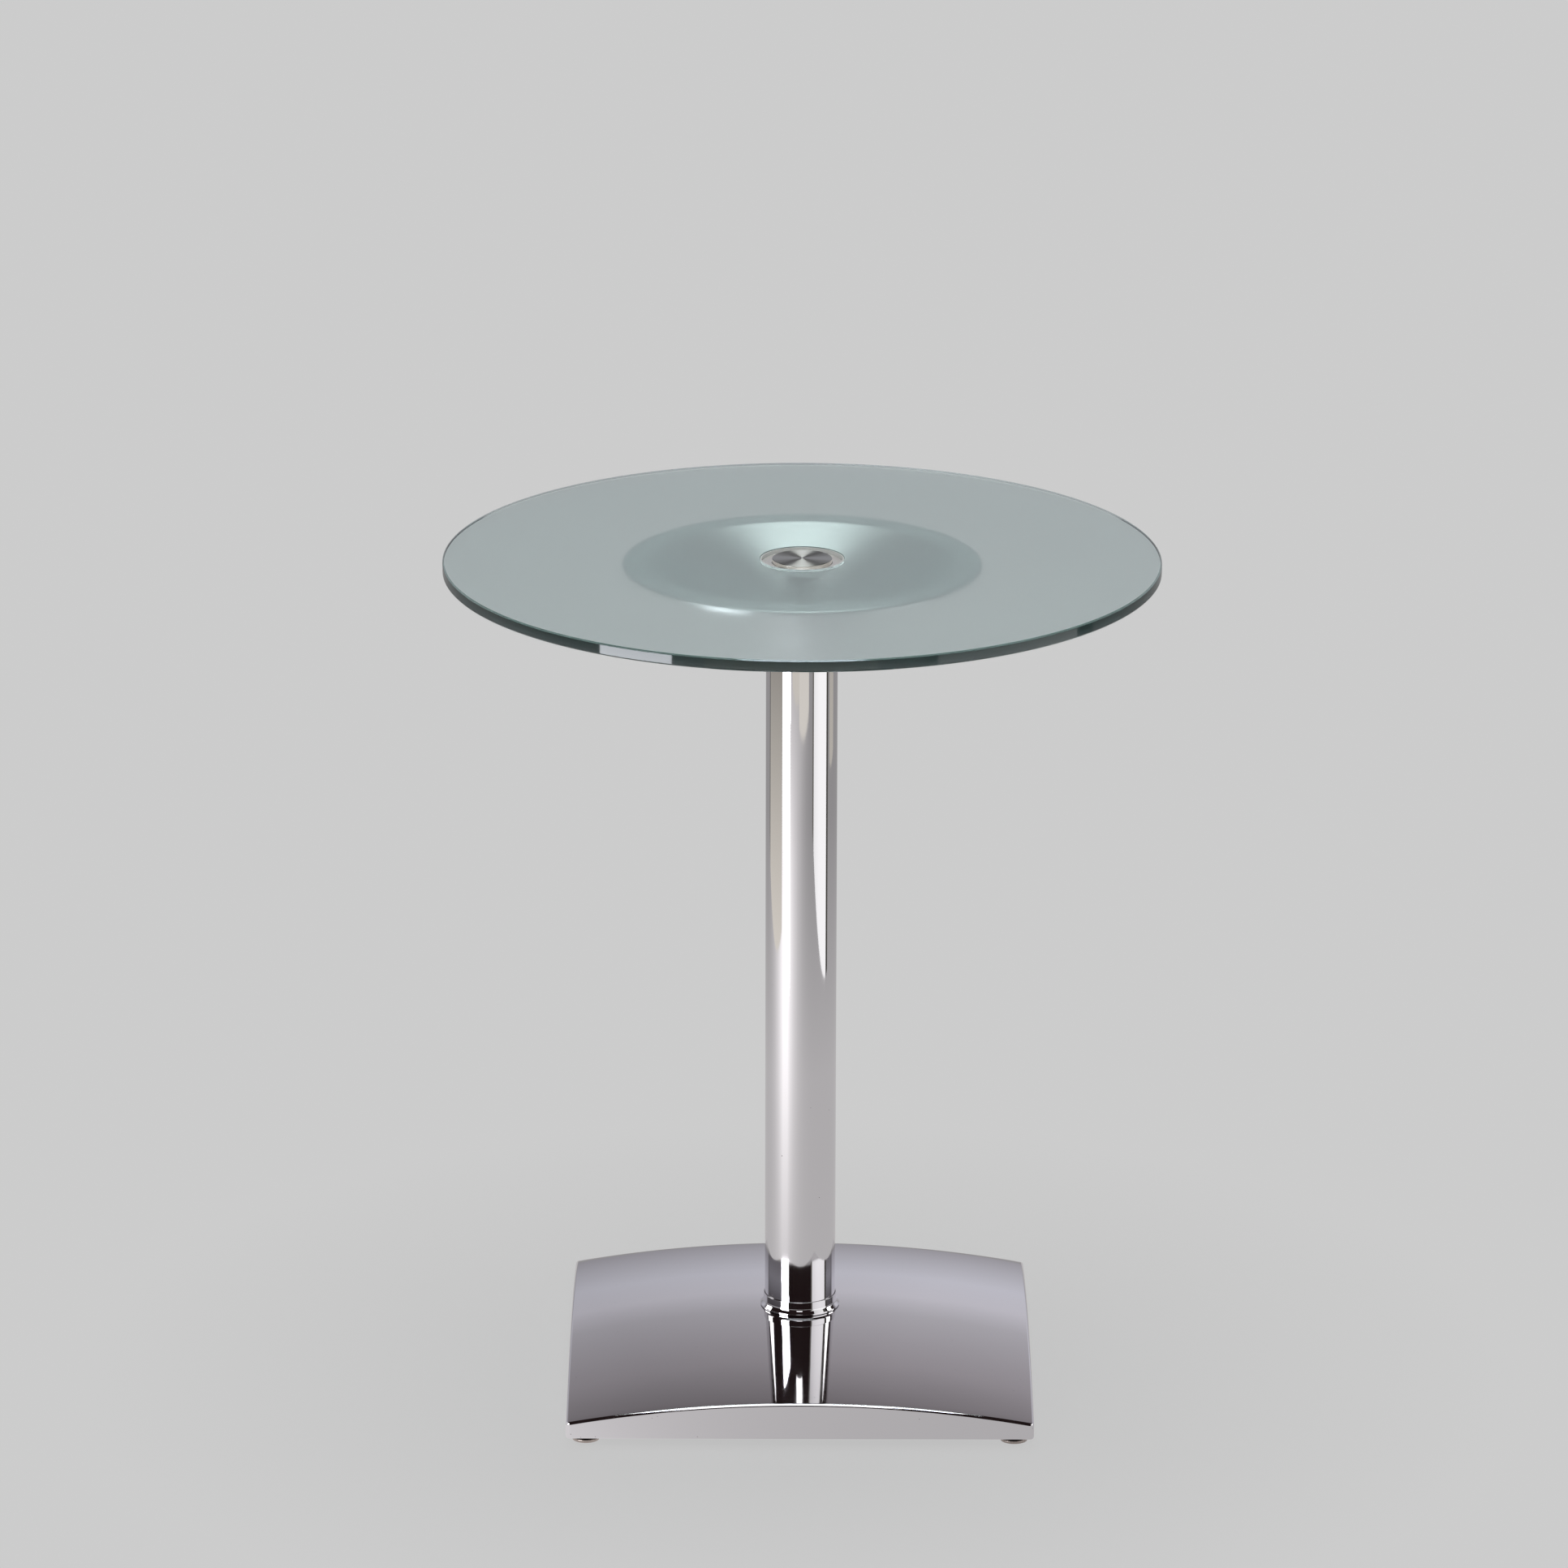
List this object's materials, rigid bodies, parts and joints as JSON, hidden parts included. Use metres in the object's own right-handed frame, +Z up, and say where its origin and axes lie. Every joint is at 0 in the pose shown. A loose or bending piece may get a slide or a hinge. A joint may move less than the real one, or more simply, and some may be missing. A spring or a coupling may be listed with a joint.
{
  "type": "round glass table",
  "caption": "Round frosted glass table top on a spun metal dish and a chromed tubular column, over a square domed weighted base with levelling glides.",
  "frame": {"origin": "on the floor, under the axis of the column, with the levelling glides at rest", "axes": "+Z up along the column's axis; X and Y along the sides of the square base, with -Y the side that faces the camera in the picture"},
  "size_m": [0.6, 0.6, 0.72],
  "materials": {
    "frosted_glass": "greenish float glass, polished on top and satin-etched underneath",
    "clear_plastic": "translucent, smooth",
    "satin_aluminium": "satin, spun or turned",
    "turned_steel": "faced on a lathe, fine circular marks",
    "chrome": "polished chrome plate",
    "zinc_steel": "zinc plated",
    "ballast_paint": "black primer on steel plate"
  },
  "bodies": {
    "table": {"glass_top": "frosted_glass", "hole_liner": "clear_plastic", "centring_ring": "satin_aluminium", "top_cap": "turned_steel", "hub_post": "satin_aluminium", "hub_bolt": "zinc_steel", "hub_washer": "zinc_steel", "bumper_1": "clear_plastic", "bumper_2": "clear_plastic", "bumper_3": "clear_plastic", "bumper_4": "clear_plastic", "bumper_5": "clear_plastic", "bumper_6": "clear_plastic", "bumper_7": "clear_plastic", "bumper_8": "clear_plastic", "support_dish": "satin_aluminium", "head_plug": "zinc_steel", "column_tube": "chrome", "foot_plug": "zinc_steel", "column_collar": "chrome", "base_shell": "chrome", "spacer_tube": "zinc_steel", "base_bolt": "zinc_steel", "ballast_plate": "ballast_paint"},
    "front_left_glide": {"glide_front_left": "chrome"},
    "front_right_glide": {"glide_front_right": "chrome"},
    "rear_left_glide": {"glide_rear_left": "chrome"},
    "rear_right_glide": {"glide_rear_right": "chrome"},
    "front_left_stud": {"stud_front_left": "zinc_steel"},
    "front_right_stud": {"stud_front_right": "zinc_steel"},
    "rear_left_stud": {"stud_rear_left": "zinc_steel"},
    "rear_right_stud": {"stud_rear_right": "zinc_steel"}
  },
  "joints": [
    {"name": "front_left_level", "type": "slide", "parent": "table", "child": "front_left_glide", "axis": [0, 0, 1], "range_m": [-0.007, 0.002]},
    {"name": "front_right_level", "type": "slide", "parent": "table", "child": "front_right_glide", "axis": [0, 0, 1], "range_m": [-0.007, 0.002]},
    {"name": "rear_left_level", "type": "slide", "parent": "table", "child": "rear_left_glide", "axis": [0, 0, 1], "range_m": [-0.007, 0.002]},
    {"name": "rear_right_level", "type": "slide", "parent": "table", "child": "rear_right_glide", "axis": [0, 0, 1], "range_m": [-0.007, 0.002]},
    {"name": "front_left_screw", "type": "hinge", "parent": "front_left_glide", "child": "front_left_stud", "pos_m": [-0.1795, -0.1795, 0.015], "axis": [0, 0, 1], "range_deg": [-2017, 577]},
    {"name": "front_right_screw", "type": "hinge", "parent": "front_right_glide", "child": "front_right_stud", "pos_m": [0.1795, -0.1795, 0.015], "axis": [0, 0, 1], "range_deg": [-2017, 577]},
    {"name": "rear_left_screw", "type": "hinge", "parent": "rear_left_glide", "child": "rear_left_stud", "pos_m": [-0.1795, 0.1795, 0.015], "axis": [0, 0, 1], "range_deg": [-2017, 577]},
    {"name": "rear_right_screw", "type": "hinge", "parent": "rear_right_glide", "child": "rear_right_stud", "pos_m": [0.1795, 0.1795, 0.015], "axis": [0, 0, 1], "range_deg": [-2017, 577]}
  ],
  "couplings": [
    {"joint": "front_left_screw", "follows": "front_left_level", "rad_per_m": 5026.5},
    {"joint": "front_right_screw", "follows": "front_right_level", "rad_per_m": 5026.5},
    {"joint": "rear_left_screw", "follows": "rear_left_level", "rad_per_m": 5026.5},
    {"joint": "rear_right_screw", "follows": "rear_right_level", "rad_per_m": 5026.5}
  ]
}
